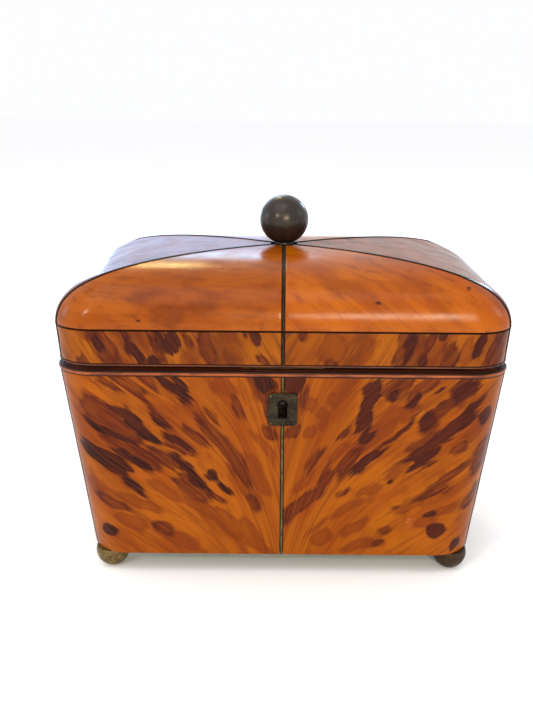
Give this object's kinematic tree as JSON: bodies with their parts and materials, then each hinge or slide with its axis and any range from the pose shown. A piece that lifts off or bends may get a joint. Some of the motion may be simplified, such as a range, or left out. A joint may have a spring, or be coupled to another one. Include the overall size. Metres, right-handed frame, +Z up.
{
  "type": "tea caddy",
  "caption": "Flared tea caddy with a domed hinged lid, ball finial, ball feet, lined tea wells with lift-out inner lids, and a box lock.",
  "frame": {"origin": "middle of the footprint, on the surface the ball feet stand on", "axes": "+X to the right along the long side, +Y from the front to the hinged back, +Z up through the finial"},
  "size_m": [0.1916, 0.124, 0.1631],
  "materials": {
    "shell": "polished",
    "edging": "polished",
    "dark_string": "polished",
    "pewter_string": "dull",
    "mahogany": "satin",
    "brass": "aged",
    "foot_brass": "tarnished",
    "finial_metal": "tarnished",
    "velvet": "matte",
    "baize": "matte",
    "foil": "dull",
    "bone": "polished"
  },
  "bodies": {
    "caddy_body": {"shell_front_left": "shell", "shell_front_right": "shell", "shell_side_left": "shell", "shell_side_right": "shell", "shell_back": "shell", "string_front_lower": "pewter_string", "string_front_upper": "pewter_string", "corner_string_front_left": "dark_string", "corner_string_front_right": "dark_string", "corner_string_back_left": "dark_string", "corner_string_back_right": "dark_string", "rim_edging": "edging", "board_front": "mahogany", "board_back": "mahogany", "board_left": "mahogany", "board_right": "mahogany", "board_bottom": "mahogany", "divider": "mahogany", "base_baize": "baize", "foot_front_left": "foot_brass", "foot_front_right": "foot_brass", "foot_back_left": "foot_brass", "foot_back_right": "foot_brass", "tea_lining_left": "foil", "tea_lining_right": "foil", "lock_case": "brass", "lock_plate": "brass", "escutcheon": "brass", "hinge_lower_leaf_left": "brass", "hinge_lower_leaf_right": "brass", "hinge_pin_left": "brass", "hinge_pin_right": "brass"},
    "lid": {"lid_edging": "edging", "band_front_left": "shell", "band_front_right": "shell", "band_side_left": "shell", "band_side_right": "shell", "band_back": "shell", "dome_front_left": "shell", "dome_front_right": "shell", "dome_side_left": "shell", "dome_side_right": "shell", "dome_back": "shell", "lid_stringing": "dark_string", "lid_frame": "mahogany", "lid_board": "mahogany", "lid_pad": "velvet", "finial": "finial_metal", "finial_nut": "brass", "lock_hook": "brass", "hinge_upper_leaf_left": "brass", "hinge_upper_leaf_right": "brass"},
    "left_inner_lid": {"inner_lid_left": "shell", "inner_knob_left": "bone"},
    "right_inner_lid": {"inner_lid_right": "shell", "inner_knob_right": "bone"},
    "bolt": {"lock_bolt": "brass"}
  },
  "joints": [
    {"name": "lid_hinge", "type": "hinge", "parent": "caddy_body", "child": "lid", "pos_m": [0, 0.06015, 0.09853], "axis": [-1, 0, 0], "range_deg": [0, 95]},
    {"name": "left_inner_lid_lift", "type": "slide", "parent": "caddy_body", "child": "left_inner_lid", "axis": [0, 0, 1], "range_m": [0, 0.015]},
    {"name": "right_inner_lid_lift", "type": "slide", "parent": "caddy_body", "child": "right_inner_lid", "axis": [0, 0, 1], "range_m": [0, 0.015]},
    {"name": "bolt_slide", "type": "slide", "parent": "caddy_body", "child": "bolt", "axis": [-1, 0, 0], "range_m": [0, 0.0032]}
  ]
}
